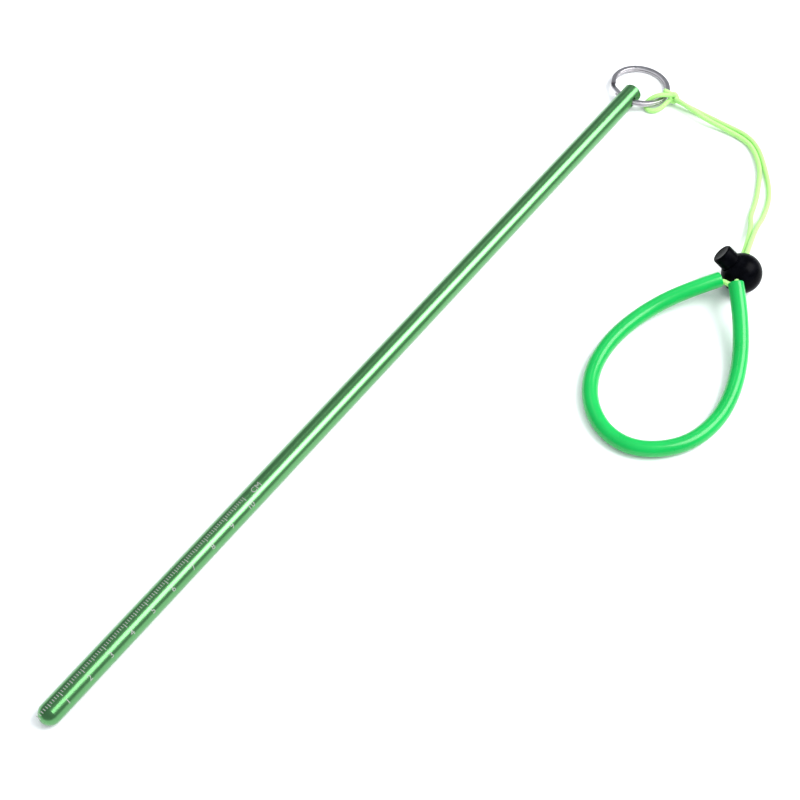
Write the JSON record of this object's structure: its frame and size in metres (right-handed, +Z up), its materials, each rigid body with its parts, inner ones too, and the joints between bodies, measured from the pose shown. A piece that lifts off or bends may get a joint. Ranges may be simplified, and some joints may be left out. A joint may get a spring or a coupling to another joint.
{
  "type": "dive pointer stick with wrist lanyard",
  "caption": "Round metal pointer stick with a rounded tip, a split ring through its end, a cord with a push-button ball lock, and a tube wrist loop.",
  "frame": {"origin": "bottom centre of the stick and its ring as they lie on a surface, without the cord, its lock and the wrist tube", "axes": "+X along the stick from its rounded tip to its ring, +Z up from the surface it lies on; the lanyard lies on the -Y side"},
  "size_m": [0.3686, 0.1276, 0.0177],
  "materials": {
    "anodised_green": "green anodised, satin, with a laser-marked centimetre scale",
    "ring_steel": "bare stainless steel",
    "neon_cord": "fluorescent yellow-green braided cord",
    "green_tube": "soft bright green tube with a satin gloss",
    "lock_black": "glossy black moulded plastic",
    "spring_steel": "bright spring wire"
  },
  "bodies": {
    "stick": {"pointer_rod": "anodised_green"},
    "ring": {"split_ring": "ring_steel"},
    "hitch": {"ring_hitch": "neon_cord", "cord_knot": "neon_cord"},
    "lanyard": {"lanyard_cord": "neon_cord", "wrist_tube": "green_tube"},
    "lock": {"lock_barrel": "lock_black", "lock_spring": "spring_steel"},
    "button": {"lock_plunger": "lock_black"}
  },
  "joints": [
    {"name": "ring_swing", "type": "hinge", "parent": "stick", "child": "ring", "pos_m": [0.16069, 0, 0.004], "axis": [0, 1, 0], "range_deg": [-172, 157]},
    {"name": "hitch_slide", "type": "hinge", "parent": "ring", "child": "hitch", "pos_m": [0.17179, 0, 0.00258], "axis": [0.127, 0, 0.9919], "range_deg": [-10, 200]},
    {"name": "lanyard_lift", "type": "hinge", "parent": "hitch", "child": "lanyard", "pos_m": [0.17399, -0.0148, 0.0035], "axis": [-1, 0, 0], "range_deg": [-100, 100]},
    {"name": "lock_slide", "type": "slide", "parent": "lanyard", "child": "lock", "axis": [0.9519, 0.2675, -0.1493], "range_m": [0, 0.01]},
    {"name": "button_press", "type": "slide", "parent": "lock", "child": "button", "axis": [0.1365, -0.8066, -0.5752], "range_m": [0, 0.003], "stiffness_N_per_m": 400, "springref_m": -0.003, "deforming": ["lock_spring"]}
  ]
}
